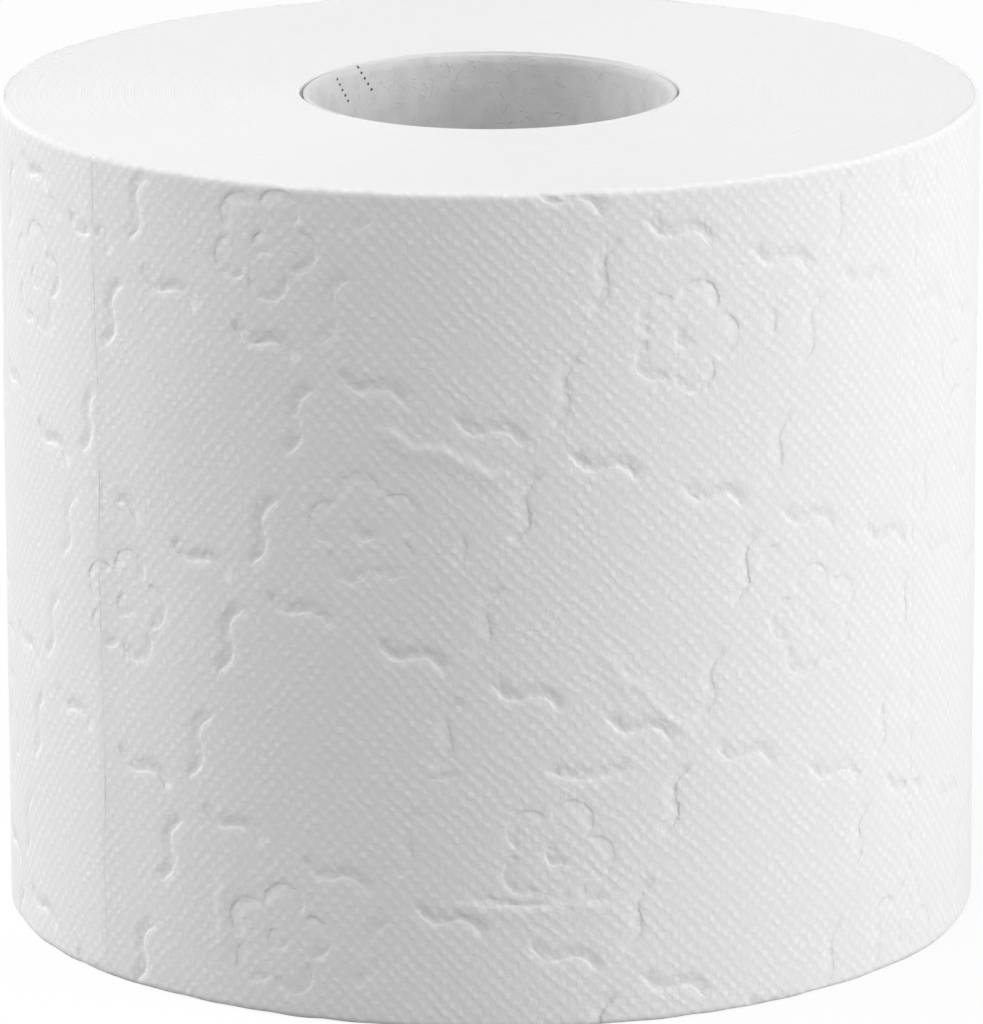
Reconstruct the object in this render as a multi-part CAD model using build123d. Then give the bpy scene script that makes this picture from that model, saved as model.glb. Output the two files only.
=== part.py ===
from build123d import *
import math
import os

# A toilet paper roll: one long strip of embossed tissue wound on a cardboard core.
#
# Millimetres. +Z runs along the core. The origin is the centre of the bottom end, on which the
# roll stands. Seen from above, the strip is wound anticlockwise from the core outwards, so each
# turn lies one thickness further out, and its free edge is a small step down the side.

# The strip of tissue
sheet_width = 96.0  # width of the strip, and so the height of the roll
roll_radius = 56.8  # from the axis to the outside of the free edge
web_thickness = 0.35  # one turn of three-ply tissue, as it is wound
tail_direction = 218.2  # where the free edge lies, in degrees from +X, anticlockwise from above
edge_rounding = 1.2  # radius of the soft outer edge at each end

# The core
core_bore_radius = 21.1  # the hole that a holder's spindle goes through
core_wall = 0.55  # two plies of cardboard
core_setback = 0.25  # how far each end of the core lies inside the tissue's end
mouth_gap = 0.4  # how far the innermost turns lean away from the core at each end
mouth_depth = 1.5  # how deep that lean reaches before tissue and core touch

# The turns, which show on both ends as one spiral crease for every few turns
turns_per_crease = 33
crease_width = 0.4
crease_depth = 0.5
crease_margin = 0.8  # plain tissue between the crease and the soft edge or the mouth

# The embossing: short pressed strokes that cross as a trellis, leaning as it does in the photo,
# and a flat-bottomed flower in every second field
crossing_direction = 276.2  # where two lines of the trellis cross, in degrees like the free edge
crossing_height = 66.9
strokes_round = 24  # strokes along one sloping line before it has come round the roll once
strokes_dropped = 8  # how many strokes lower it then is
stroke_length = 9.0
stroke_depth = 0.35
steep_side = 0.4  # width of a stroke's wall on its lower or right side
gentle_side = 1.0  # and on the other side
petals = 5
petal_reach = 6.3  # from a flower's middle to the tips of its petals
notch_reach = 4.4  # and to the notches between them
flower_depth = 0.55  # at a flower's middle, and so less at its sides, where the roll curves away
emboss_margin = 1.0  # plain tissue between the embossing and the soft edges or the free edge

rounding_bands = 2  # the soft edges are drawn as this many flat bands

core_outer_radius = core_bore_radius + core_wall
core_length = sheet_width - 2 * core_setback
crease_pitch = turns_per_crease * web_thickness
trellis_slope = math.atan2(strokes_dropped, strokes_round)
full_turn = 360  # degrees


def banded(curve, bands):
    """Points that divide a curve into equal bands, from its start to its end."""
    return [curve @ (step / bands) for step in range(bands + 1)]


def half_turns(count, first_radius, pitch):
    """The radius and place of each half turn of a spiral drawn from two centres.

    The centres lie a quarter of the pitch either side of the axis, on the line through the free
    edge of the strip, so each half turn meets the next without a kink.
    """
    for number in range(count):
        start = tail_direction + full_turn / 2 * number
        place = Rot(0, 0, start) * Pos(-pitch / 4, 0, 0)
        yield first_radius + number * pitch / 2, place


def wound_block():
    """The wound strip before its hole is made: two half turns, the second one further out.

    Where the second half turn comes round to the first it stands one thickness proud. That step
    is the free edge of the strip.
    """
    halves = []
    for radius, place in half_turns(2, roll_radius - 3 * web_thickness / 4, web_thickness):
        inset = radius - edge_rounding
        lower = CenterArc((inset, edge_rounding), edge_rounding, -90, 90)
        upper = CenterArc((inset, sheet_width - edge_rounding), edge_rounding, 0, 90)
        side = banded(lower, rounding_bands) + banded(upper, rounding_bands)
        section = make_face(Polyline((0, 0), *side, (0, sheet_width), close=True))
        halves.append(place * revolve(Plane.XZ * section, Axis.Z, revolution_arc=full_turn / 2))
    return halves[0] + halves[1]


def hole_for_core():
    """The hole that the core fills, widening at both ends."""
    mouth_radius = core_outer_radius + mouth_gap
    lower = [(core_outer_radius, mouth_depth), (mouth_radius, 0), (0, 0)]
    upper = [(radius, sheet_width - height) for radius, height in reversed(lower)]
    section = make_face(Polyline(*lower, *upper, close=True))
    return revolve(Plane.XZ * section, Axis.Z)


def turn_crease():
    """The spiral crease between turns, as a V-shaped cutter for an end face at height zero.

    The V reaches as far above the face as below it, and is twice the crease's width at its top.
    """
    first_radius = core_outer_radius + mouth_gap + crease_margin + crease_pitch / 4
    last_radius = roll_radius - edge_rounding - crease_margin - crease_pitch / 4
    count = math.floor(2 * (last_radius - first_radius) / crease_pitch)
    crease = None
    for radius, place in half_turns(count, first_radius, crease_pitch):
        tip = (radius, -crease_depth)
        brim = [(radius + crease_width, crease_depth), (radius - crease_width, crease_depth)]
        section = make_face(Polyline(tip, *brim, close=True))
        half = place * revolve(Plane.XZ * section, Axis.Z, revolution_arc=full_turn / 2)
        crease = half if crease is None else crease + half
    return crease


def on_trellis(along, up):
    """Direction and height of a place on the trellis, counted in strokes from the crossing."""
    spacing = 2 * math.pi * roll_radius * math.cos(trellis_slope) / strokes_round
    across = spacing * (along * math.cos(trellis_slope) + up * math.sin(trellis_slope))
    climb = spacing * (up * math.cos(trellis_slope) - along * math.sin(trellis_slope))
    return crossing_direction + math.degrees(across / roll_radius), crossing_height + climb


def stroke_cutter():
    """An upright stroke, with its steep side on the right as seen from outside the roll."""
    tip = (-stroke_depth, 0)
    brim = [(stroke_depth, 2 * steep_side), (stroke_depth, -2 * gentle_side)]
    section = make_face(Polyline(tip, *brim, close=True))
    return extrude(section, stroke_length / 2, both=True)


def flower_cutter():
    """A flower as a star with one petal at the top."""
    corners = []
    for number in range(2 * petals):
        turn = math.pi * number / petals
        reach = notch_reach if number % 2 else petal_reach
        corners.append((reach * math.sin(turn), reach * math.cos(turn)))
    star = Plane.YZ * make_face(Polyline(*corners, close=True))
    return extrude(star, flower_depth, both=True)


def pressed(cutter, direction, height, turn):
    """A cutter placed on the side, half above it and half below, or nothing near an edge."""
    past_free_edge = (direction - tail_direction) % full_turn
    radius = roll_radius - web_thickness * (1 - past_free_edge / full_turn)
    from_free_edge = radius * math.radians(min(past_free_edge, full_turn - past_free_edge))
    placed = Rot(0, 0, direction) * Pos(radius, 0, height) * Rot(turn, 0, 0) * cutter
    box = placed.bounding_box()
    plain = edge_rounding + emboss_margin
    clear = from_free_edge > max(stroke_length / 2, petal_reach) + emboss_margin
    if clear and box.min.Z > plain and box.max.Z < sheet_width - plain:
        return [placed]
    return []


def embossing():
    """Every cutter of the embossing.

    Lines run along the slope at each even number up, and across it at each even number along.
    The fields lie between them, and every second one holds a flower.
    """
    stroke = stroke_cutter()
    flower = flower_cutter()
    slope = math.degrees(trellis_slope)
    cutters = []
    for along in range(strokes_round):
        for up in range(-strokes_round, strokes_round):
            if up % 2 == 0:
                cutters += pressed(stroke, *on_trellis(along + 0.5, up), -slope - full_turn / 4)
            if along % 2 == 0:
                cutters += pressed(stroke, *on_trellis(along, up + 0.5), -slope)
            elif (along + up) % 4 == 2:
                cutters += pressed(flower, *on_trellis(along, up), 0)
    return cutters


def tissue_roll():
    """The wound strip as one solid, with its free edge, its embossing and the turns on its ends."""
    crease = turn_crease()
    top_crease = Pos(0, 0, sheet_width) * crease
    bottom_crease = mirror(crease, about=Plane.XY)
    plain_roll = wound_block() - hole_for_core() - top_crease - bottom_crease
    return plain_roll.cut(*embossing())


def core_tube():
    """The cardboard core, a plain tube cut square at both ends."""
    ring = Circle(core_outer_radius) - Circle(core_bore_radius)
    return Pos(0, 0, core_setback) * extrude(ring, core_length)


os.makedirs("parts", exist_ok=True)
for node, make in (("tissue_roll", tissue_roll), ("core_tube", core_tube)):
    export_step(make(), f"parts/{node}.step")
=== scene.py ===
import math

import bmesh
import bpy
import numpy as np
from mathutils import Matrix, Vector


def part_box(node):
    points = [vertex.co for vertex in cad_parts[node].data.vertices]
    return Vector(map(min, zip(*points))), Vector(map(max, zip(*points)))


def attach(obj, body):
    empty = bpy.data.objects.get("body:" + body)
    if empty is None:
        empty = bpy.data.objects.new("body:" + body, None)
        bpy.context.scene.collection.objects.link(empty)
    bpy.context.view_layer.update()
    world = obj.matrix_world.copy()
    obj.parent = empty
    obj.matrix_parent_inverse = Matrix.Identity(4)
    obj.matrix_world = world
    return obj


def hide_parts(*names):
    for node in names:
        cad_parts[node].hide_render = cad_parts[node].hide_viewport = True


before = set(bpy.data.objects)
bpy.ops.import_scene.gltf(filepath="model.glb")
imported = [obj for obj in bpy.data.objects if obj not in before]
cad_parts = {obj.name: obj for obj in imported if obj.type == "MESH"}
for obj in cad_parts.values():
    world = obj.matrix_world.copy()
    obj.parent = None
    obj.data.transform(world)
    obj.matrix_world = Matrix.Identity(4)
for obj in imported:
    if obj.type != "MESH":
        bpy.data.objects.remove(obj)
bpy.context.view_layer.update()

MM = 0.001

# What the frame says about the roll, in millimetres


def around_axis(node):
    """Distance from the axis and direction about it, in radians, of each point of a CAD node."""
    points = np.array([point.co[:2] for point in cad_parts[node].data.vertices]) / MM
    return np.hypot(points[:, 0], points[:, 1]), np.arctan2(points[:, 1], points[:, 0])


tissue_reach, tissue_direction = around_axis("tissue_roll")
core_reach = around_axis("core_tube")[0]
ROLL_RADIUS = tissue_reach.max()
TAIL_DIRECTION = tissue_direction[tissue_reach.argmax()]
CORE_BORE = core_reach.min()
CORE_OUTER = core_reach.max()
ROLL_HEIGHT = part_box("tissue_roll")[1].z / MM
CORE_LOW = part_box("core_tube")[0].z / MM
CORE_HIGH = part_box("core_tube")[1].z / MM

# The wound strip
WEB = 0.35  # thickness of one turn as wound
SHEET_LENGTH = 124.0  # from one row of perforations to the next
SHEET_BODY = 0.6  # how deep the outer sheets are drawn, which is more than the embossing
SHEET_LEAST = 0.1  # and how deep it stays at least, at the free edge
SHEET_UNIT = 100.0  # how much of a sheet is one unit of its UV map
SHEET_MESH = (352, 272)  # columns and rows of a sheet's mesh
UNSEEN_MESH = (22, 17)  # and on the side that isn't seen
EDGE_ROUNDING = 0.55  # soft outer edge of each end
SHEET_PATH = ROLL_HEIGHT - 2 * EDGE_ROUNDING + math.pi * EDGE_ROUNDING  # the way across a sheet
MOUTH_GAP = 0.2  # how far the innermost turns stand off the core at each end
MOUTH_DEPTH = 2.0
TURN = 2 * math.pi * ROLL_RADIUS  # arc length of one turn at the outside
UNDERLAP = 0.6  # how far the last sheet runs on beneath the free edge
LIP_HEIGHT = 0.07  # the strip rises a little towards its free edge
LIP_SPREAD = 4.0
LIP_FALL = 0.07  # and then lies down on the turn beneath it
LIP_FALL_WIDTH = 1.0
TEAR_REACH = 6.0  # how far from the free edge the sheets' meshes follow its tear
LOOSE_WIDTH = 1.3  # nearer than this to the free edge the embossing fades
SWELL_HEIGHT = 0.345  # the turn beneath swells where it comes out from under the free edge
SWELL_SPREAD = 4.2
SWELL_RISE_WIDTH = 0.4
EDGE_LEAN = 1.1  # how much further round the free edge is at the bottom than at the top
FINE_COLUMNS = 12  # the greater, the closer the mesh's fine columns lie to the free edge
FINE_SHARE = 0.7  # by how much the last of them is narrower than the others

# Unevenness, as its swing, its seed and the size of its bumps. It is the sum of waves whose
# rates are between these shares of what gives bumps of that size.
UNEVEN_WAVES = 10
UNEVEN_RATES = (0.6, 1.5)
SIDE_BUMPS = ((0.05, 3, 9.0), (0.05, 4, 25.0))  # of the side
CUT_BUMPS = ((0.07, 31, 3.5),)  # of the cut along the sheet's long edges
TEAR_BUMPS = ((0.2, 11, 22.0), (0.05, 12, 0.9))  # of the free edge, along the turn
LIP_BUMPS = ((0.2, 13, 9.0),)  # of the fall at the free edge, as a share of it

# Arc length runs from the middle of the front, to the right; the strip's free edge is at the left
FRONT = -math.pi / 2
TAIL_ARC = math.remainder(TAIL_DIRECTION - FRONT, 2 * math.pi) * ROLL_RADIUS

# The embossing. Two families of waves cross in a trellis, with a flower in every second field.
TRELLIS_PITCH = 13.75
TRELLIS_TURN = math.radians(-18.7)
TRELLIS_CROSSING = np.array([6.2, 66.9])  # one crossing, as arc length and height
ALONG = np.array([math.cos(TRELLIS_TURN), math.sin(TRELLIS_TURN)])
DOWN = np.array([ALONG[1], -ALONG[0]])
FIELDS_ROUND = 12  # fields along the slope before the trellis comes round to its start
FIELDS_DOWN = 4  # and how many fields lower it then is
FIELDS_DRAWN = (range(-9, 11), range(-9, 9))  # along and down, enough to cover a whole turn
FIELD_SEED = 50  # so that no field's seed is less than 0
WHOLE_ROUND = TRELLIS_PITCH * 2 * (FIELDS_ROUND * ALONG - FIELDS_DOWN * DOWN)
MATCHED_ARC = 75.0  # beyond this from the front's middle the trellis is eased, to meet itself
WAVE_LENGTH = 9.0
WAVE_SWING = 0.75
WAVE_PERIOD = 7.2
WAVE_POINTS = 13
SLOPING_PRESS = (0.7, 1.0)  # least and most of how strongly a wave is pressed
UPRIGHT_PRESS = (0.5, 0.8)
PETALS = 5
PETAL_RADIUS = 2.35
PETAL_REACH = 4.15  # from the flower's centre to a petal's centre
PETAL_SWEEP = math.radians(118)  # how far a petal's line goes round to either side
PETAL_POINTS = 19
RING_RADIUS = 1.1  # of the open ring in a flower's middle
RING_SWEEP = 1.6 * math.pi
RING_POINTS = 12
FLOWER_TURN = math.radians(80)  # where a flower's first petal points
FLOWER_TWIST = 0.35  # and how far that differs from one flower to the next
FLOWER_SWAY = 3.2  # how far a flower strays from the middle of its field
FRONT_SWAYS = {  # and how far the flowers of the front do, by field
    (0, -1): (-1.4, 3.4), (1, 0): (-1.0, 3.4), (-1, 0): (-3.0, -0.8), (0, 1): (1.3, -3.2),
    (-2, -1): (2.2, -3.9), (-2, 1): (-0.6, 3.5), (-1, 2): (3.8, 2.8), (-3, 0): (-2.0, 3.2),
}
LEAF_REACH = 8.8  # from a flower's centre to the leaf beside it
LEAF_RADIUS = 2.6
LEAF_SWEEP = 0.9
LEAF_POINTS = 9
LEAFLESS = (0, 1)  # the flower that has one of the front's longer strokes in place of its leaf
GROOVE_DEPTH = 0.12
STEEP_SIDE = 0.5  # width of a groove's wall on the right of its line
GENTLE_SIDE = 1.4  # and on the left
GROOVE_REACH = 2.2  # nothing is pressed further from a line than this
REACH_FADE = 0.4  # over this width the groove, and its own edge, end there
CRISP_DEPTH = 0.14  # the groove's own edge, finer than the mesh
CRISP_STEEP = 0.42
CRISP_GENTLE = 1.5
CRISP_REACH = 1.6  # nothing of it shows further from a line than this
PARTING = 0.5  # where two strokes are about equally near, to within this, neither is pressed
FLOWER_PRESS = 0.65  # how strongly the flowers are pressed, beside the trellis
PART_PRESS = (0.6, 1.0)  # least and most of a petal's share of that
END_FADE = 1.1  # a stroke is pressed less near its ends
# Longer strokes of the front, from left to right: each one's ends, its sag and its press
FRONT_STROKES = (
    ((6.0, 30.2), (15.9, 30.1), 1.2, 0.85),
    ((-2.5, 14.7), (13.0, 14.9), 0.2, 0.6),
    ((-7.6, 29.4), (-3.6, 29.6), 0.2, 0.5),
)
PERFORATION_PITCH = 4.0
PERFORATION_CUT = 3.2
PERFORATION_PRESS = 0.45
PERFORATION_MARGIN = 1.0
# Where the outer turn is faintly puckered: each pucker's ends, its rise and how far it sags
PUCKERS = (
    ((-13.5, 69.3), (2.5, 63.6), 0.20, 0.0),
    ((12.0, 44.0), (24.0, 32.0), 0.12, 0.0),
    ((-6.0, 14.4), (15.0, 14.6), 0.12, 0.2),
    ((-32.4, 6.0), (-33.0, 16.0), 0.12, 0.0),
    ((31.0, 78.0), (39.0, 84.0), 0.10, 0.0),
)
PUCKER_POINTS = 17
PUCKER_STEEP = 0.4  # width of its side on the left, as it goes
PUCKER_GENTLE = 1.5  # and on the right
PUCKER_FADE = 2.5  # from each end, how far it rises to its full height
PUCKER_SWING = 0.45  # how far it wanders
PUCKER_BEND = 2.2  # and how long a bend of that is
PUCKER_MEAN = 0.85  # its height is this share of its rise, give or take its lumps
PUCKER_LUMPS = 0.15
PUCKER_LUMP = 1.4
BEND_SEED = 40  # for the first pucker, and one more for each further one
LUMP_SEED = 50

PIP_SPACING = 1.274
PIP_ROWS = (math.radians(46.0), math.radians(-42.5))
PIP_HEIGHT = 0.032
PIP_WAVES = (-0.7, 2.0)  # how far the rows' two waves add up where a pip starts, and at its top
PIP_STRAYS = ((0.3, 1.2), (0.8, 0.35))  # how often in a millimetre and how far pips stray
# how much lighter the pips are painted than the ground: a painted highlight where light catches
# them
PIP_PAINTED_HIGHLIGHT = 0.6
ROW_DEPTH = 0.012  # the rows of pips that run down to the right lie in shallow valleys
CREPE_DEPTH = 0.055
CREPE_STRETCH = (1.5, 1.1, 1)
FIBRE_DEPTH = 0.012
FLUFF = (0.3, 0.7, 0.0, 0.3)  # two levels of the fibre's noise, and how white it makes each

# Grain of the surfaces: how often a noise changes, in a millimetre for the side and in a metre
# for the rest, and its detail
CREPE_GRAIN = (1.0, 3.0)
FIBRE_GRAIN = (5.0, 4.0)
NAP_GRAIN = (1.5 / MM, 3.0)
MOTTLE_GRAIN = (0.35 / MM, 3.0)
BOARD_GRAIN = (3.0 / MM, 3.0)

# Strengths that change from spot to spot: how often in a millimetre a noise changes, two of its
# levels, and the strength at each
PIP_PATCHES = (0.25, 0.3, 0.65, 0.45, 1.0)
PIP_UNEVENNESS = (0.9, 0.3, 0.7, 0.55, 1.2)
LINE_RAGGEDNESS = (1.3, 0.3, 0.7, -0.08, 0.08)
LINE_BREAKS = (0.4, 0.32, 0.6, 0.45, 1.2)

# The ends, where the cut edges of the turns show
TURNS = 95
END_COLUMNS = 190
END_DIP = 0.025  # how far the edge of each turn rounds off towards its neighbours
# the crease between turns is a dent and also painted shade: its colour is darker
CREASE_WIDTH = 0.16  # how far the crease between two turns reaches into each, as a share of it
CREASE_DEPTH = 0.02
NAP_DEPTH = 0.03
END_FLAT = (0.3, 0.7)  # from where to where across its thickness each turn is flat
MOUTH_ROWS = (MOUTH_DEPTH, 1.1, 0.75, 0.45, 0.22, 0.08)  # how deep the mouth's rows of points lie
RIM_ROWS = (0.2, 0.8)  # and the rows where the ends meet the side
NEARLY_OUT = 0.999  # their share of the way out, short of 1, so that they get no unevenness
WELD = 1e-4  # points of an end that lie nearer to each other than this become one
LEVEL_SLACK = 0.01  # points this near to the skirt's depth count as its edge
CLEAR_OF_CORE = 0.02
CLEAR_OF_SIDE = 0.05
SKIRT_DEPTH = 3.0  # how far the end's surface reaches into the roll, unseen
TURN_SWING = 0.014  # how unevenly high the turns are, from one to the next
TURN_BUMPS = (21, 1.3)  # the seed of that and the size of its bumps
END_SWING = 0.05  # how unevenly high each end is, over wider bumps
END_BUMPS = (22, 16.0)
BUMP_DROP = 1.6  # the ends' bumps are lowered by this share of their swing, to stay in the sheet

# The core's board, with its glued seam and two short rows of ink dots
CORE_SOFTNESS = 0.12  # of its cut edges
CORE_MESH = (90, 12, 200)  # rows inside, rows outside and columns
BOARD_SHARP = 0.9  # radians between two faces, from which their edge stays sharp
SEAM_PITCH = 86.0
SEAM_WIDTH = 0.3
SEAM_DEPTH = 0.12
SEAM_DARKNESS = 0.3
MOTTLE_LEVELS = (0.3, 0.7)  # of its noise, where the board is darkest and where it is lightest
MOTTLE_DEPTH = 0.10
GRAIN_DEPTH = 0.03
CURL_RATE = 0.55 / MM  # of the board's curling fibres
CURL_WIDTH = 0.035
CURL_TWIST = 1.2
CURL_DEPTH = 0.04
CURL_DARKNESS = 0.16
CURL_GAPS = (1.7, 0.5, 0.62)  # rate beside the fibres' own, and from where to where they fade in
CUT_END = (0.16, 0.02)  # how far below the core's top its cut end's colour starts, and is full
DOT_SPACING = 0.91
DOTS = 5
DOT_RADIUS = 0.19
DOT_BLUR = (0.6, 1.2)  # share of its radius where a dot starts to fade, and where it ends
FIRST_DOT = (math.radians(148.0), 0.9)  # its direction, and how far it lies below the core's top
ROW_SLANT = math.radians(-54.2)  # the rows' direction, as seen from inside the core
ROW_SHIFTS = ((0.0, 0.0), (1.72, 3.67))  # how far each row starts along and across from the first

CAMERA_DISTANCE = 18.5 * ROLL_RADIUS
CAMERA_RISE = 0.2510  # radians above the horizontal
CAMERA_ROLL = -0.0021
PHOTO_SIZE = (983, 1024)
PHOTO_CENTRE = (491.2, 490.6)  # where the roll's middle lies in the photograph
PHOTO_FOCUS = 8976.0  # focal length in the photograph's pixels
SENSOR = 36.0
SIGHT = 20.0  # metres that the camera sees

FLOOR_GLOW = 0.88  # how far the floor that the camera sees is white by itself
FLOOR_REACH = 4.0
ROOM_LIGHT = 0.31
LAMP_AIM = Vector((0, 0, 0.05))
LAMPS = (  # name, place and size in metres, watts
    ("high_left", (-0.6, -0.3, 1.2), 1.2, 10.0),
    ("right", (1.19, -0.32, 0.45), 0.9, 13.1),
    ("left", (-1.14, 0.46, 0.45), 0.9, 9.0),
)


# Materials


def linear(code):
    """A colour written as sRGB hex, as linear RGBA."""
    levels = [int(code[i:i + 2], 16) / 255 for i in (1, 3, 5)]
    return [c / 12.92 if c <= 0.04045 else ((c + 0.055) / 1.055) ** 2.4 for c in levels] + [1.0]


def add(tree, kind, inputs=None, **settings):
    """One node with its settings, its inputs linked to sockets or set to values."""
    node = tree.nodes.new("ShaderNode" + kind)
    for name, value in settings.items():
        setattr(node, name, value)
    for name, value in (inputs or {}).items():
        if isinstance(value, bpy.types.NodeSocket):
            tree.links.new(value, node.inputs[name])
        else:
            node.inputs[name].default_value = value
    return node


def new_material(name):
    """A material with an empty node tree and its output node."""
    material = bpy.data.materials.new(name)
    material.use_nodes = True
    tree = material.node_tree
    tree.nodes.clear()
    return material, tree, tree.nodes.new("ShaderNodeOutputMaterial")


def ramp(tree, value, low, high, start=0.0, end=1.0, soft=True):
    """A value that goes from start to end while another goes from low to high."""
    return add(
        tree, "MapRange",
        {"Value": value, "From Min": low, "From Max": high, "To Min": start, "To Max": end},
        interpolation_type="SMOOTHSTEP" if soft else "LINEAR",
    ).outputs[0]


def sum_up(tree, operation, *values):
    """One step of arithmetic on sockets or numbers."""
    return add(tree, "Math", dict(enumerate(values)), operation=operation).outputs[0]


def relief(tree, *layers):
    """The normal of a fine relief, of one or more layers as (height, its depth in millimetres)."""
    height = 0.0
    for layer, millimetres in layers:
        height = sum_up(tree, "MULTIPLY_ADD", layer, millimetres, height)
    return add(tree, "Bump", {"Height": height, "Distance": MM, "Strength": 1.0}).outputs[0]


def changing(tree, place, rate, low, high, least, most):
    """A strength that changes from spot to spot."""
    return ramp(tree, noise(tree, place, rate)[0], low, high, least, most)


def combine(tree, operation, *vectors):
    """One step of arithmetic on vectors, as its node's outputs."""
    return add(tree, "VectorMath", dict(enumerate(vectors)), operation=operation).outputs


def noise(tree, place, rate, detail=1.0, distortion=0.0):
    """A soft random pattern with about the given rate of bumps, as its node's outputs."""
    inputs = {"Vector": place, "Scale": rate, "Detail": detail, "Distortion": distortion}
    return add(tree, "TexNoise", inputs).outputs


def blend(tree, share, first, second):
    """A colour between two, by a share of 0 to 1."""
    return add(tree, "Mix", {"Factor": share, 6: first, 7: second}, data_type="RGBA").outputs[2]


def matte(tree, output, colour, normal):
    """Ties a dry, rough paper surface to a material's output."""
    shader = add(
        tree, "BsdfPrincipled",
        {"Base Color": colour, "Roughness": 0.95, "Specular IOR Level": 0.2, "Normal": normal},
    )
    tree.links.new(shader.outputs[0], output.inputs[0])


def pip_rows(tree, place):
    """The two sets of rows that the pips lie on, each 1 along its rows and -1 between them."""
    rows = []
    rate = 2 * math.pi / PIP_SPACING
    for angle in PIP_ROWS:
        wave = (rate * math.cos(angle), rate * math.sin(angle), 0)
        phase = combine(tree, "DOT_PRODUCT", place, wave)["Value"]
        rows.append(sum_up(tree, "COSINE", phase))
    return rows


def tissue_pips(tree, place):
    """The pips, 0 to 1, and the valleys along one set of their rows, from -1 to 1.

    Both are stronger in some patches than in others, and the pips stray from their rows.
    """
    strayed = place
    for rate, reach in PIP_STRAYS:
        shift = noise(tree, place, rate)["Color"]
        strayed = combine(tree, "MULTIPLY_ADD", shift, (reach, reach, 0), strayed)[0]
    patches = changing(tree, place, *PIP_PATCHES)
    strength = sum_up(tree, "MULTIPLY", patches, changing(tree, place, *PIP_UNEVENNESS))
    rows = pip_rows(tree, strayed)
    pips = ramp(tree, sum_up(tree, "ADD", *rows), *PIP_WAVES)
    return sum_up(tree, "MULTIPLY", pips, strength), sum_up(tree, "MULTIPLY", rows[0], strength)


def pressed_lines(tree, place):
    """The sharp edge of each groove, 0 to 1, a little ragged and stronger here than there."""
    side = add(tree, "Attribute", attribute_name="groove_side").outputs["Fac"]
    press = add(tree, "Attribute", attribute_name="groove_press").outputs["Fac"]
    side = sum_up(tree, "ADD", side, changing(tree, place, *LINE_RAGGEDNESS))
    press = sum_up(tree, "MULTIPLY", press, changing(tree, place, *LINE_BREAKS))
    steep = ramp(tree, side, -CRISP_STEEP, 0.0)
    gentle = ramp(tree, side, 0.0, CRISP_GENTLE, 1.0, 0.0)
    return sum_up(tree, "MULTIPLY", sum_up(tree, "MULTIPLY", steep, gentle), press)


def tissue_material():
    """Bathroom tissue: creped, three plies bonded by embossing. Matte, soft and slightly woolly."""
    material, tree, output = new_material("creped_tissue")
    sheet = add(tree, "UVMap", uv_map="sheet").outputs[0]
    place = combine(tree, "MULTIPLY", sheet, (SHEET_UNIT, SHEET_UNIT, 0))[0]
    pips, valleys = tissue_pips(tree, place)
    crepe = noise(tree, combine(tree, "MULTIPLY", place, CREPE_STRETCH)[0], *CREPE_GRAIN)[0]
    fibre = noise(tree, place, *FIBRE_GRAIN)[0]
    lines = pressed_lines(tree, place)
    normal = relief(
        tree, (crepe, CREPE_DEPTH), (fibre, FIBRE_DEPTH), (valleys, ROW_DEPTH / 2),
        (pips, PIP_HEIGHT), (lines, -CRISP_DEPTH),
    )
    fluff = ramp(tree, fibre, *FLUFF)
    # lighter at random where the fibre's fluff is, and painted lighter on the pips as a painted
    # highlight
    fluff_and_painted_highlight = sum_up(tree, "ADD", fluff, sum_up(tree, "MULTIPLY", pips, PIP_PAINTED_HIGHLIGHT))
    matte(tree, output, blend(tree, fluff_and_painted_highlight, linear("#ECECEC"), linear("#F9F9F9")), normal)
    return material


def cut_edge_material():
    """The cut edges of the turns: tissue on end, so a fine nap in rings, and no embossing. The
    creases between turns are painted darker, as painted shade.
    """
    material, tree, output = new_material("cut_tissue")
    place = add(tree, "TexCoord").outputs["Object"]
    turn = add(tree, "Attribute", attribute_name="turn").outputs["Fac"]
    nap = noise(tree, place, *NAP_GRAIN)[0]
    crease_and_painted_shade = ramp(tree, sum_up(tree, "PINGPONG", turn, 0.5), 0.0, CREASE_WIDTH, 1.0, 0.0)
    normal = relief(tree, (nap, NAP_DEPTH), (crease_and_painted_shade, -CREASE_DEPTH))
    # painted shade: the creases between the turns are coloured darker than the rest of the cut
    # edges
    matte(tree, output, blend(tree, crease_and_painted_shade, linear("#F1F1F1"), linear("#EBEBEA")), normal)
    return material


def fibre_lines(tree, place):
    """Short curling lines, 1 on a line and 0 off it: level lines of a noise, broken by another."""
    curls = noise(tree, place, CURL_RATE, distortion=CURL_TWIST)[0]
    level = sum_up(tree, "ABSOLUTE", sum_up(tree, "SUBTRACT", curls, 0.5))
    lines = ramp(tree, level, 0.0, CURL_WIDTH, 1.0, 0.0)
    gap_rate, gap, whole = CURL_GAPS
    breaks = noise(tree, place, CURL_RATE * gap_rate, 0.0)[0]
    return sum_up(tree, "MULTIPLY", lines, ramp(tree, breaks, gap, whole))


def seam_line(tree, spot):
    """The butt joint of the core's wound ply, 1 on the line and 0 off it."""
    shift = sum_up(tree, "MULTIPLY", spot["turn"], SEAM_PITCH / (2 * math.pi))
    level = sum_up(tree, "ADD", spot["height"], shift)
    level = sum_up(tree, "SUBTRACT", level, CORE_HIGH + FRONT * SEAM_PITCH / (2 * math.pi))
    away = sum_up(tree, "ABSOLUTE", sum_up(tree, "WRAP", level, SEAM_PITCH / 2, -SEAM_PITCH / 2))
    return ramp(tree, away, 0.0, SEAM_WIDTH, 1.0, 0.0)


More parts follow.
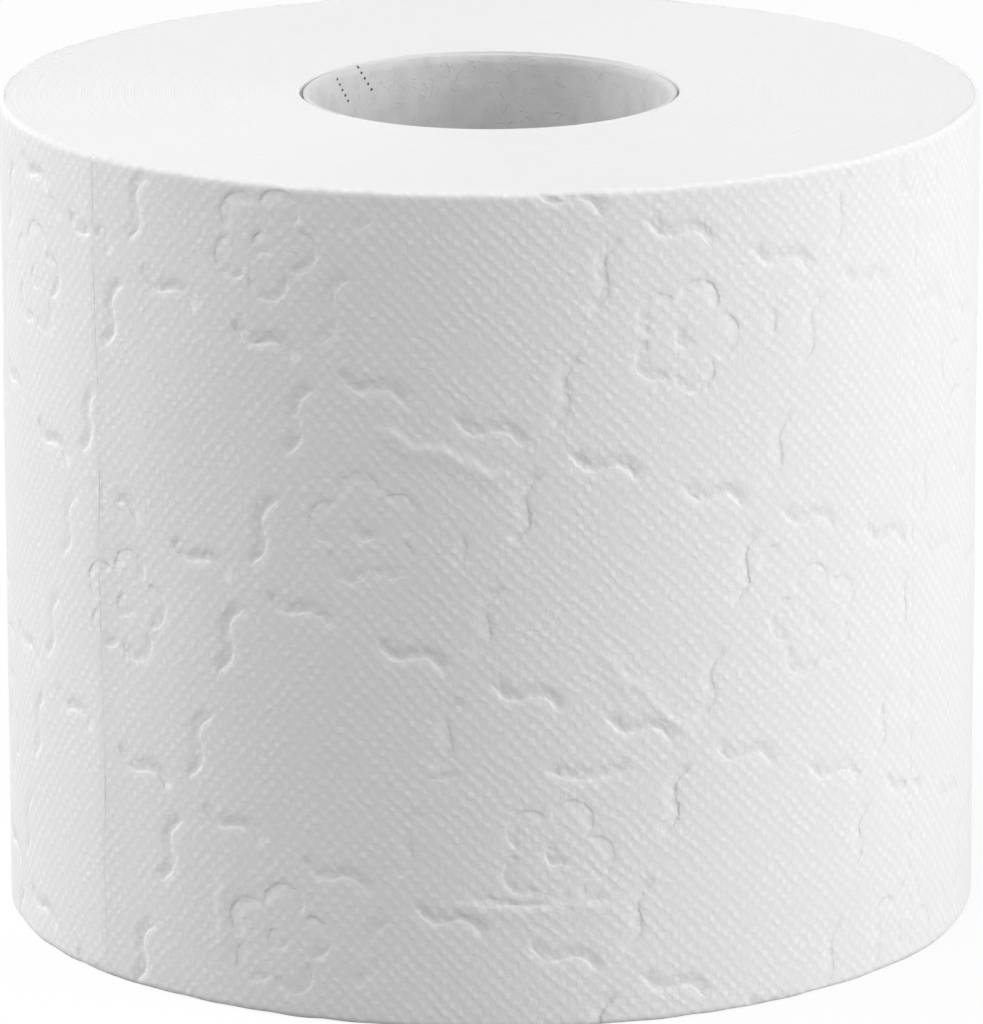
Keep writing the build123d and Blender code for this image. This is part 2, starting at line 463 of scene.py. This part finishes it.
def ink_dots(tree, spot):
    """Two short slanting rows of plain dots near the top of the core, 1 on a dot and 0 off it."""
    across = sum_up(tree, "SUBTRACT", FIRST_DOT[0], spot["turn"])
    across = sum_up(tree, "MULTIPLY", across, CORE_BORE)
    climb = sum_up(tree, "SUBTRACT", spot["height"], CORE_HIGH - FIRST_DOT[1])
    spread = add(tree, "CombineXYZ", {"X": across, "Y": climb}).outputs[0]
    slant = (math.cos(ROW_SLANT), math.sin(ROW_SLANT), 0)
    along = combine(tree, "DOT_PRODUCT", spread, slant)["Value"]
    aside = combine(tree, "DOT_PRODUCT", spread, (-slant[1], slant[0], 0))["Value"]
    marks = []
    for shift, offset in ROW_SHIFTS:
        run = sum_up(tree, "SUBTRACT", along, shift)
        nearest = sum_up(tree, "WRAP", run, DOT_SPACING / 2, -DOT_SPACING / 2)
        beside_row = sum_up(tree, "SUBTRACT", aside, offset)
        flat = add(tree, "CombineXYZ", {"X": nearest, "Y": beside_row}).outputs[0]
        away = combine(tree, "LENGTH", flat)["Value"]
        dot = ramp(tree, away, DOT_RADIUS * DOT_BLUR[0], DOT_RADIUS * DOT_BLUR[1], 1.0, 0.0)
        middle = DOT_SPACING * (DOTS - 1) / 2
        from_middle = sum_up(tree, "ABSOLUTE", sum_up(tree, "SUBTRACT", run, middle))
        inside = sum_up(tree, "LESS_THAN", from_middle, DOT_SPACING * DOTS / 2)
        marks.append(sum_up(tree, "MULTIPLY", dot, inside))
    return sum_up(tree, "MAXIMUM", *marks)


def board_material():
    """Core board: nearly white and matte, with curling fibres, a glued seam and ink dots."""
    material, tree, output = new_material("recycled_core_board")
    place = add(tree, "TexCoord").outputs["Object"]
    parts = add(tree, "SeparateXYZ", {0: place}).outputs
    spot = {
        "turn": sum_up(tree, "ARCTAN2", parts[1], parts[0]),
        "height": sum_up(tree, "DIVIDE", parts[2], MM),
    }
    mottle = noise(tree, place, *MOTTLE_GRAIN)[0]
    grain = noise(tree, place, *BOARD_GRAIN)[0]
    fibres = fibre_lines(tree, place)
    seam = seam_line(tree, spot)
    normal = relief(
        tree, (mottle, MOTTLE_DEPTH), (grain, GRAIN_DEPTH), (fibres, CURL_DEPTH),
        (seam, -SEAM_DEPTH),
    )
    cut_end = ramp(tree, spot["height"], CORE_HIGH - CUT_END[0], CORE_HIGH - CUT_END[1])
    darker = sum_up(tree, "MULTIPLY", fibres, CURL_DARKNESS)
    joint = sum_up(tree, "MULTIPLY", seam, SEAM_DARKNESS)
    colour = blend(tree, ramp(tree, mottle, *MOTTLE_LEVELS), linear("#DADADA"), linear("#E2E2E2"))
    colour = blend(tree, darker, colour, linear("#C8C8C8"))
    colour = blend(tree, joint, colour, linear("#BCBCBC"))
    colour = blend(tree, cut_end, colour, linear("#DCDCDC"))
    colour = blend(tree, ink_dots(tree, spot), colour, linear("#454547"))
    matte(tree, output, colour, normal)
    return material


def stage_material():
    """Floor: white with a faint shadow to the camera, and a greyer bounce of light for the roll."""
    material, tree, output = new_material("white_floor")
    seen = add(tree, "LightPath").outputs["Is Camera Ray"]
    bounce = blend(tree, seen, linear("#ADADAD"), linear("#F6F6F6"))
    lit = add(tree, "BsdfDiffuse", {"Color": bounce})
    glow = add(tree, "Emission", {"Color": (1, 1, 1, 1), "Strength": 1.0})
    share = sum_up(tree, "MULTIPLY", seen, FLOOR_GLOW)
    mixed = add(tree, "MixShader", {"Fac": share, 1: lit.outputs[0], 2: glow.outputs[0]})
    tree.links.new(mixed.outputs[0], output.inputs[0])
    return material


# The embossing's strokes, each as its points and how strongly it is pressed. The wall on the
# right of a stroke is steep and the one on its left is gentle.


def pattern_place(arc, climb):
    """Where a point of the outer turn lies on the embossing.

    Round the back the pattern is drawn in a little, so that it meets itself after one turn.
    """
    beyond = np.sign(arc) * np.maximum(np.abs(arc) - MATCHED_ARC, 0)
    spare = TURN - 2 * MATCHED_ARC
    across = arc + beyond * (WHOLE_ROUND[0] - TURN) / spare
    return np.stack([across, climb + beyond * WHOLE_ROUND[1] / spare], 1)


def arc_points(middle, radius, start, end, count):
    """Points round part of a circle, anticlockwise."""
    angle = np.linspace(start, end, count)
    return middle + radius * np.stack([np.cos(angle), np.sin(angle)], 1)


def line_points(start, end, count):
    """Points from one place to another, and the share of the way at each."""
    share = np.linspace(0, 1, count)[:, None]
    return np.array(start) * (1 - share) + np.array(end) * share, share


def offset_from(middle, reach, direction):
    """The place at some reach from another, in a direction in radians."""
    return middle + reach * np.array([math.cos(direction), math.sin(direction)])


def wave_stroke(middle, direction):
    """One wave of the trellis: a short line that dips and rises about the line it follows."""
    side = np.array([-direction[1], direction[0]])
    run = np.linspace(-WAVE_LENGTH / 2, WAVE_LENGTH / 2, WAVE_POINTS)
    swing = WAVE_SWING * np.sin(2 * math.pi * run / WAVE_PERIOD)
    return middle + run[:, None] * direction + swing[:, None] * side


def flower_strokes(middle, turn, leaf):
    """A flower of five open petals round a small ring, and a leaf beside it unless that is None."""
    strokes = [arc_points(middle, RING_RADIUS, turn, turn + RING_SWEEP, RING_POINTS)]
    for petal in range(PETALS):
        out = turn + 2 * math.pi * petal / PETALS
        centre = offset_from(middle, PETAL_REACH, out)
        sweep = (out - PETAL_SWEEP, out + PETAL_SWEEP)
        strokes.append(arc_points(centre, PETAL_RADIUS, *sweep, PETAL_POINTS))
    if leaf is not None:
        centre = offset_from(middle, LEAF_REACH, leaf)
        sweep = (leaf - LEAF_SWEEP, leaf + LEAF_SWEEP)
        strokes.append(arc_points(centre, LEAF_RADIUS, *sweep, LEAF_POINTS))
    return strokes


def field_dice(i, j):
    """Random numbers for a field of the trellis, the same each time the pattern comes round."""
    rounds = i // FIELDS_ROUND
    seed = [i - rounds * FIELDS_ROUND, j + rounds * FIELDS_DOWN + FIELD_SEED]
    return np.random.default_rng(seed)


def on_trellis(along, down):
    """A place on the embossing, counted in waves of the trellis from its crossing."""
    return TRELLIS_CROSSING + TRELLIS_PITCH * (along * ALONG + down * DOWN)


def trellis_waves(i, j, dice):
    """The four waves along the upper and left sides of a field."""
    for step in (0, 1):
        along = on_trellis(i * 2 + 0.5, 2 * j) + step * TRELLIS_PITCH * ALONG
        upward = on_trellis(2 * i, 2 * j + 0.5) + step * TRELLIS_PITCH * DOWN
        yield wave_stroke(along, ALONG), dice.uniform(*SLOPING_PRESS)
        yield wave_stroke(upward, -DOWN), dice.uniform(*UPRIGHT_PRESS)


def field_flower(i, j, dice):
    """The strokes of the flower in a field."""
    sway = np.array(FRONT_SWAYS.get((i, j), dice.uniform(-1, 1, 2) * FLOWER_SWAY))
    turn = FLOWER_TURN + dice.uniform(-1, 1) * FLOWER_TWIST
    leaf = dice.uniform(0, 2 * math.pi)
    if (i, j) == LEAFLESS:
        leaf = None
    for points in flower_strokes(on_trellis(2 * i + 1, 2 * j + 1) + sway, turn, leaf):
        yield points, FLOWER_PRESS * dice.uniform(*PART_PRESS)


def front_strokes():
    """The front's own longer strokes."""
    for start, end, sag, press in FRONT_STROKES:
        line, share = line_points(start, end, WAVE_POINTS)
        yield line - [0, 4] * share * (1 - share) * sag, press


def perforations():
    """The rows of short cuts between one sheet and the next."""
    for join in (TAIL_ARC - SHEET_LENGTH, TAIL_ARC - 2 * SHEET_LENGTH + TURN):
        last = ROLL_HEIGHT - PERFORATION_MARGIN
        for low in np.arange(PERFORATION_MARGIN, last, PERFORATION_PITCH):
            climb = np.array([low, low + PERFORATION_CUT])
            yield pattern_place(np.full(2, join), climb), PERFORATION_PRESS


def emboss_strokes():
    """Every embossed stroke of the outer turn, as (points, press)."""
    strokes = []
    for i in FIELDS_DRAWN[0]:
        for j in FIELDS_DRAWN[1]:
            dice = field_dice(i, j)
            strokes += trellis_waves(i, j, dice)
            if (i + j) % 2:
                strokes += field_flower(i, j, dice)
    return strokes + list(front_strokes()) + list(perforations())


def beside(points, stroke):
    """Each point's distance from a stroke, the same with its side as sign, and way to an end."""
    nearest = np.full(len(points), np.inf)
    signed = np.zeros(len(points))
    along = np.zeros(len(points))
    travelled = 0.0
    for start, end in zip(stroke[:-1], stroke[1:]):
        step = end - start
        length = np.hypot(*step)
        offset = points - start
        share = np.clip(offset @ step / length**2, 0, 1)
        away = np.hypot(*(offset - share[:, None] * step).T)
        nearer = away < nearest
        left = np.sign(step[0] * offset[:, 1] - step[1] * offset[:, 0])
        nearest = np.where(nearer, away, nearest)
        signed = np.where(nearer, away * left, signed)
        along = np.where(nearer, travelled + share * length, along)
        travelled += length
    return nearest, signed, np.minimum(along, travelled - along)


def near_line(place, line, reach):
    """Which places lie in the box round a line, made wider by a reach on every side."""
    low, high = line.min(0) - reach, line.max(0) + reach
    return np.nonzero(((place > low) & (place < high)).all(1))[0]


def embossing(place, strokes):
    """For each place its side of the nearest stroke, in millimetres, and that stroke's press."""
    away = np.full(len(place), GROOVE_REACH)
    next_away = away.copy()
    side = away.copy()
    press = np.zeros(len(place))
    for points, strength in strokes:
        near = near_line(place, points, GROOVE_REACH)
        if len(near):
            distance, signed, from_end = beside(place[near], points)
            nearer = distance < away[near]
            next_away[near] = np.minimum(next_away[near], np.maximum(distance, away[near]))
            chosen = near[nearer]
            away[chosen] = distance[nearer]
            side[chosen] = signed[nearer]
            press[chosen] = strength * np.clip(from_end[nearer] / END_FADE, 0, 1)
    return side, press * np.clip((next_away - away) / PARTING - 1, 0, 1)


def puckering(place):
    """Height of the faint puckers at each place: short ridges that wander as they go."""
    height = np.zeros(len(place))
    for number, (start, end, rise, sag) in enumerate(PUCKERS):
        line, share = line_points(start, end, PUCKER_POINTS)
        along = (np.array(end) - start) / math.dist(start, end)
        swing = PUCKER_SWING * soft_waves(line, BEND_SEED + number, PUCKER_BEND)[:, None]
        line = line + (swing - 4 * sag * share * (1 - share)) * np.array([-along[1], along[0]])
        near = near_line(place, line, 2 * PUCKER_GENTLE)
        if len(near):
            _, side, from_end = beside(place[near], line)
            width = np.where(side > 0, PUCKER_STEEP, PUCKER_GENTLE)
            lumps = PUCKER_LUMPS * soft_waves(place[near], LUMP_SEED + number, PUCKER_LUMP)
            ridge = rise * (PUCKER_MEAN + lumps) * np.exp(-(side / width) ** 2)
            height[near] += ridge * np.clip(from_end / PUCKER_FADE, 0, 1)
    return height


def groove_height(side, press):
    """How far the grooves are pressed in, as a height of 0 or less, by each place's side."""
    wall = np.where(side > 0, GENTLE_SIDE, STEEP_SIDE)
    fade = np.clip((GROOVE_REACH - np.abs(side)) / REACH_FADE, 0, 1)
    return -GROOVE_DEPTH * press * fade * np.exp(-(side / wall) ** 2)


def soft_waves(place, seed, size):
    """A gentle unevenness between about -1 and 1, with bumps of about the given size."""
    dice = np.random.default_rng(seed)
    total = np.zeros(len(place))
    for _ in range(UNEVEN_WAVES):
        direction = dice.normal(size=place.shape[1])
        rate = math.pi / size * dice.uniform(*UNEVEN_RATES) / np.linalg.norm(direction)
        total += np.sin(place @ (rate * direction) + dice.uniform(0, 2 * math.pi))
    return total / math.sqrt(UNEVEN_WAVES)


def bumps(place, kinds):
    """The sum of several unevennesses, each given as its swing, its seed and its bumps' size."""
    return sum(swing * soft_waves(place, seed, size) for swing, seed, size in kinds)


# Pieces


def finished(name, bm, material, node):
    """Turns a bmesh into a piece that rides on the roll and stands for a CAD node."""
    mesh = bpy.data.meshes.new(name)
    bm.to_mesh(mesh)
    bm.free()
    mesh.materials.append(material)
    piece = bpy.data.objects.new(name, mesh)
    bpy.context.scene.collection.objects.link(piece)
    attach(piece, "root")
    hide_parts(node)
    return piece


def smooth_but_sharp(bm, limit=1.0):
    """Shades a mesh smooth, apart from its edges sharper than a limit in radians."""
    for edge in bm.edges:
        edge.smooth = edge.calc_face_angle(0) < limit
    for face in bm.faces:
        face.smooth = True


def slab():
    """A closed flat slab, one unit each way, with a fine top at 0 and a coarse underside at -1."""
    bm = bmesh.new()
    for level, (columns, rows) in ((0, SHEET_MESH), (-1, UNSEEN_MESH)):
        place = Matrix.Translation((0, 0, level))
        bmesh.ops.create_grid(bm, x_segments=columns, y_segments=rows, size=0.5, matrix=place)
    rim = [edge for edge in bm.edges if edge.is_boundary]
    bmesh.ops.bridge_loops(bm, edges=rim)
    bmesh.ops.recalc_face_normals(bm, faces=bm.faces)
    smooth_but_sharp(bm)
    return bm


def soft_edge_profile(path, height, rounding):
    """How far in from the side, and how high, a path along the sheet's width has come.

    The path starts on the bottom end, bends round its outer edge, climbs the side and bends onto
    the top end. Returns inset, height, and the outward normal's share across and up.
    """
    bend = rounding * math.pi / 2
    side = height - 2 * rounding
    low = np.clip(1 - path / bend, 0, 1) * math.pi / 2
    high = np.clip((path - bend - side) / bend, 0, 1) * math.pi / 2
    inset = rounding * (2 - np.cos(low) - np.cos(high))
    climb = rounding * (1 - np.sin(low)) + np.clip(path - bend, 0, side) + rounding * np.sin(high)
    across = np.cos(low) * np.cos(high)
    up = np.sin(high) - np.sin(low)
    return inset, climb, across, up


def finer_at_end(share):
    """Shares of a way from 0 to 1, moved so that equal steps get shorter close to 1."""
    return share + (share - share ** FINE_COLUMNS) * FINE_SHARE / (FINE_COLUMNS - 1)


def torn(path):
    """How far round the free edge lies beyond its mean line, all across the sheet."""
    return bumps(path[:, None], TEAR_BUMPS) + EDGE_LEAN * (1 - path / SHEET_PATH)


def lip_height(back, path):
    """How high the strip lies at some way back from its free edge: a slight rise, then a fall."""
    fall = LIP_FALL * (1 + bumps(path[:, None], LIP_BUMPS))
    fall *= np.clip(1 - back / LIP_FALL_WIDTH, 0, 1) ** 2
    return LIP_HEIGHT * np.exp(-back / LIP_SPREAD) - fall


def swell_height(beyond):
    """How high the turn beneath lies at some way beyond the free edge: flush, and then falling."""
    covered = np.clip(1 + beyond / SWELL_RISE_WIDTH, 0, 1)
    return SWELL_HEIGHT * covered * np.exp(-np.maximum(beyond, 0) / SWELL_SPREAD)


def on_sheet(points, first_arc, last_arc):
    """Arc length, path across the sheet and way from the free edge, for each point of a slab.

    The last goes along the turn to the nearer side of the free edge, and is less than 0 beneath
    it. The columns close to the free edge are finer, and follow its tear.
    """
    share = points[:, 0] + 0.5
    path = (points[:, 1] + 0.5) * SHEET_PATH
    if last_arc == TAIL_ARC:
        share = finer_at_end(share)
    if first_arc < TAIL_ARC - TURN:
        share = 1 - finer_at_end(1 - share)
    arc = last_arc - (1 - share) * (last_arc - first_arc)
    from_edge = np.minimum(TAIL_ARC - arc, arc - TAIL_ARC + TURN)
    return arc + torn(path) * np.clip(1 - from_edge / TEAR_REACH, 0, 1), path, from_edge


def store(mesh, name, values):
    """Keeps a number for each point of a mesh, for its material."""
    mesh.attributes.new(name, "FLOAT", "POINT").data.foreach_set("value", values)


def outer_sheet(name, first_arc, last_arc, strokes, material, lap=0):
    """One sheet of the outer turn, wrapped round the roll from one arc length to another.

    It follows the spiral of the winding, so its radius grows towards the free edge, which is at
    the end of the first sheet and is torn, so a little uneven. `lap` says how many turns the
    sheet lies before the place on the pattern that it shows.
    """
    piece = finished(name, slab(), material, "tissue_roll")
    mesh = piece.data
    flat = np.empty(len(mesh.vertices) * 3)
    mesh.vertices.foreach_get("co", flat)
    flat = flat.reshape(-1, 3)
    arc, path, from_edge = on_sheet(flat, first_arc, last_arc)
    inset, climb, across, up = soft_edge_profile(path, ROLL_HEIGHT, EDGE_ROUNDING)
    place = pattern_place(arc + lap * TURN, climb)
    side, press = embossing(place, strokes)
    press *= np.clip(np.abs(from_edge) / LOOSE_WIDTH, 0, 1)
    angle = FRONT + arc / ROLL_RADIUS
    spot = np.stack([ROLL_RADIUS * np.cos(angle), ROLL_RADIUS * np.sin(angle), climb], 1)
    height = groove_height(side, press)
    height += bumps(spot, SIDE_BUMPS) + puckering(place)
    if last_arc == TAIL_ARC:
        height = np.maximum(height + lip_height(from_edge, path), SHEET_LEAST - SHEET_BODY)
    if first_arc < TAIL_ARC - TURN:
        height += swell_height(from_edge)
    height = np.where(flat[:, 2] < -0.5, -SHEET_BODY, height * across)
    radius = ROLL_RADIUS + WEB * (arc - TAIL_ARC) / TURN - inset + height * across
    level = climb + height * up + bumps(spot[:, :2], CUT_BUMPS) * np.abs(up)
    shaped = np.stack([radius * np.cos(angle), radius * np.sin(angle), level], 1) * MM
    mesh.vertices.foreach_set("co", shaped.ravel())
    corners = np.empty(len(mesh.loops), np.int32)
    mesh.loops.foreach_get("vertex_index", corners)
    layer = mesh.uv_layers.new(name="sheet")
    layer.data.foreach_set("uv", (place[corners] / SHEET_UNIT).ravel())
    store(mesh, "groove_side", side)
    reach_fade = np.clip((CRISP_REACH - np.abs(side)) / REACH_FADE, 0, 1)
    store(mesh, "groove_press", press * across * reach_fade)
    mesh.update()
    return piece


def outer_turn(material):
    """The three sheets of the outer turn, the first from the free edge backwards."""
    strokes = emboss_strokes()
    first = TAIL_ARC - SHEET_LENGTH
    second = first - SHEET_LENGTH
    outer_sheet("outer_sheet_1", first, TAIL_ARC, strokes, material)
    outer_sheet("outer_sheet_2", second, first, strokes, material, lap=1)
    outer_sheet("outer_sheet_3", TAIL_ARC - TURN - UNDERLAP, second, strokes, material, lap=1)


def end_rows():
    """An end's rows from the core outwards: turns out, share of the way there, start, depth."""
    inside = CORE_OUTER + CLEAR_OF_CORE
    rows = [(0, 0.0, inside, SKIRT_DEPTH)]
    for depth in MOUTH_ROWS:
        rows.append((0, (1 - depth / MOUTH_DEPTH) ** 0.5, inside, depth))
    for turn in range(TURNS):
        rows += [(turn, 1.0, 0, END_DIP)] + [(turn + part, 1.0, 0, 0.0) for part in END_FLAT]
    rows += [(TURNS, 1.0, 0, END_DIP)] + [(TURNS, NEARLY_OUT, inside, depth) for depth in RIM_ROWS]
    rows += [(TURNS, 0.0, ROLL_RADIUS - WEB - EDGE_ROUNDING - CLEAR_OF_SIDE, SKIRT_DEPTH)]
    return np.array(rows)


def end_turns(name, at_top, material):
    """The cut edges of all the turns on one end, as one spiral surface from the core outwards."""
    rows = end_rows()
    bm = bmesh.new()
    bmesh.ops.create_grid(bm, x_segments=END_COLUMNS, y_segments=len(rows) - 1, size=0.5)
    flat = np.array([vert.co[:2] for vert in bm.verts]) + 0.5
    row = np.rint(flat[:, 1] * (len(rows) - 1)).astype(int)
    turns_out, share, start, depth = rows[row].T
    first = CORE_OUTER + MOUTH_GAP
    pitch = (ROLL_RADIUS - WEB - EDGE_ROUNDING - first) / TURNS
    turn = turns_out + flat[:, 0]
    radius = start * (1 - share) + (first + pitch * turn) * share
    angle = TAIL_DIRECTION + 2 * math.pi * flat[:, 0]
    level = np.stack([radius * np.cos(angle), radius * np.sin(angle)], 1)
    proud = soft_waves(turn[:, None], *TURN_BUMPS) - BUMP_DROP
    wavy = soft_waves(level, *END_BUMPS) - BUMP_DROP
    depth = depth - np.where(share == 1, TURN_SWING * proud + END_SWING * wavy, 0)
    height = ROLL_HEIGHT - depth if at_top else depth
    for vert, (x, y), z in zip(bm.verts, level, height):
        vert.co = (x, y, z)
    layer = bm.verts.layers.float.new("turn")
    for vert, value in zip(bm.verts, turn):
        vert[layer] = value
    bmesh.ops.remove_doubles(bm, verts=bm.verts, dist=WELD)
    deep = [edge for edge in bm.edges if edge.is_boundary and on_skirt(edge, at_top)]
    bmesh.ops.bridge_loops(bm, edges=deep)
    bmesh.ops.holes_fill(bm, edges=[edge for edge in bm.edges if edge.is_boundary])
    bmesh.ops.scale(bm, vec=(MM, MM, MM), verts=bm.verts)
    bmesh.ops.recalc_face_normals(bm, faces=bm.faces)
    smooth_but_sharp(bm)
    return finished(name, bm, material, "tissue_roll")


def on_skirt(edge, at_top):
    """Whether an edge, still in millimetres, lies at the deepest row of an end's surface."""
    skirt = ROLL_HEIGHT - SKIRT_DEPTH if at_top else SKIRT_DEPTH
    return all(abs(vert.co.z - skirt) < LEVEL_SLACK for vert in edge.verts)


def cardboard_core(material):
    """The core: an open tube of thin board, its cut ends a little soft."""
    soft = CORE_SOFTNESS
    inner_rows, outer_rows, columns = CORE_MESH
    inner = [(CORE_BORE, z) for z in np.linspace(CORE_LOW + soft, CORE_HIGH - soft, inner_rows)]
    top = [(CORE_BORE + soft, CORE_HIGH), (CORE_OUTER - soft, CORE_HIGH)]
    outer = [(CORE_OUTER, z) for z in np.linspace(CORE_HIGH - soft, CORE_LOW + soft, outer_rows)]
    bottom = [(CORE_OUTER - soft, CORE_LOW), (CORE_BORE + soft, CORE_LOW)]
    bm = bmesh.new()
    outline = inner + top + outer + bottom
    profile = [bm.verts.new((radius * MM, 0, height * MM)) for radius, height in outline]
    ring = [bm.edges.new(pair) for pair in zip(profile, profile[1:] + profile[:1])]
    bmesh.ops.spin(
        bm, geom=ring, cent=(0, 0, 0), axis=(0, 0, 1), angle=2 * math.pi, steps=columns,
        use_merge=True,
    )
    bmesh.ops.recalc_face_normals(bm, faces=bm.faces)
    smooth_but_sharp(bm, BOARD_SHARP)
    return finished("cardboard_core", bm, material, "core_tube")


# Camera, light and floor


def photo_camera():
    """The camera at the photograph's angle, aimed so that the roll lies where it does there."""
    data = bpy.data.cameras.new("camera")
    data.sensor_width = SENSOR
    data.lens = PHOTO_FOCUS * SENSOR / max(PHOTO_SIZE)
    data.clip_end = SIGHT
    camera = bpy.data.objects.new("camera", data)
    bpy.context.scene.collection.objects.link(camera)
    back = Vector((0, -math.cos(CAMERA_RISE), math.sin(CAMERA_RISE)))
    right = Vector((1, 0, 0))
    up = right.cross(back) * -1
    scale = CAMERA_DISTANCE / PHOTO_FOCUS
    middle = Vector((0, 0, ROLL_HEIGHT / 2))
    aside = right * ((PHOTO_SIZE[0] / 2 - PHOTO_CENTRE[0]) * scale)
    aim = middle + aside - up * ((PHOTO_SIZE[1] / 2 - PHOTO_CENTRE[1]) * scale)
    place = middle + back * CAMERA_DISTANCE
    camera.location = place * MM
    look = (aim - place).to_track_quat("-Z", "Y").to_matrix().to_4x4()
    roll = Matrix.Rotation(CAMERA_ROLL, 4, "Z")
    camera.matrix_world = Matrix.Translation(place * MM) @ look @ roll
    bpy.context.scene.camera = camera


def soft_lamp(name, place, size, watts):
    """A square softbox that faces the roll."""
    data = bpy.data.lights.new(name, "AREA")
    data.shape = "SQUARE"
    data.size = size
    data.energy = watts
    lamp = bpy.data.objects.new(name, data)
    bpy.context.scene.collection.objects.link(lamp)
    lamp.location = place
    aim = LAMP_AIM - Vector(place)
    lamp.rotation_euler = aim.to_track_quat("-Z", "Y").to_euler()


def white_floor():
    """A wide floor, which is stage only."""
    bm = bmesh.new()
    bmesh.ops.create_grid(bm, x_segments=4, y_segments=4, size=FLOOR_REACH)
    mesh = bpy.data.meshes.new("floor")
    bm.to_mesh(mesh)
    bm.free()
    mesh.materials.append(stage_material())
    floor = bpy.data.objects.new("floor", mesh)
    bpy.context.scene.collection.objects.link(floor)


def white_room():
    """Even white surroundings, dimmer as light on the roll than to the camera."""
    world = bpy.data.worlds.new("white_room")
    bpy.context.scene.world = world
    world.use_nodes = True
    tree = world.node_tree
    tree.nodes.clear()
    seen = add(tree, "LightPath").outputs["Is Camera Ray"]
    strength = add(tree, "MapRange", {"Value": seen, "To Min": ROOM_LIGHT, "To Max": 1.0})
    room = add(tree, "Background", {"Color": (1, 1, 1, 1), "Strength": strength.outputs[0]})
    output = tree.nodes.new("ShaderNodeOutputWorld")
    tree.links.new(room.outputs[0], output.inputs[0])


tissue = tissue_material()
cut_edges = cut_edge_material()
outer_turn(tissue)
end_turns("top_turns", True, cut_edges)
end_turns("bottom_turns", False, cut_edges)
cardboard_core(board_material())
photo_camera()
white_floor()
white_room()
for lamp in LAMPS:
    soft_lamp(*lamp)
bpy.context.scene.view_settings.view_transform = "Standard"
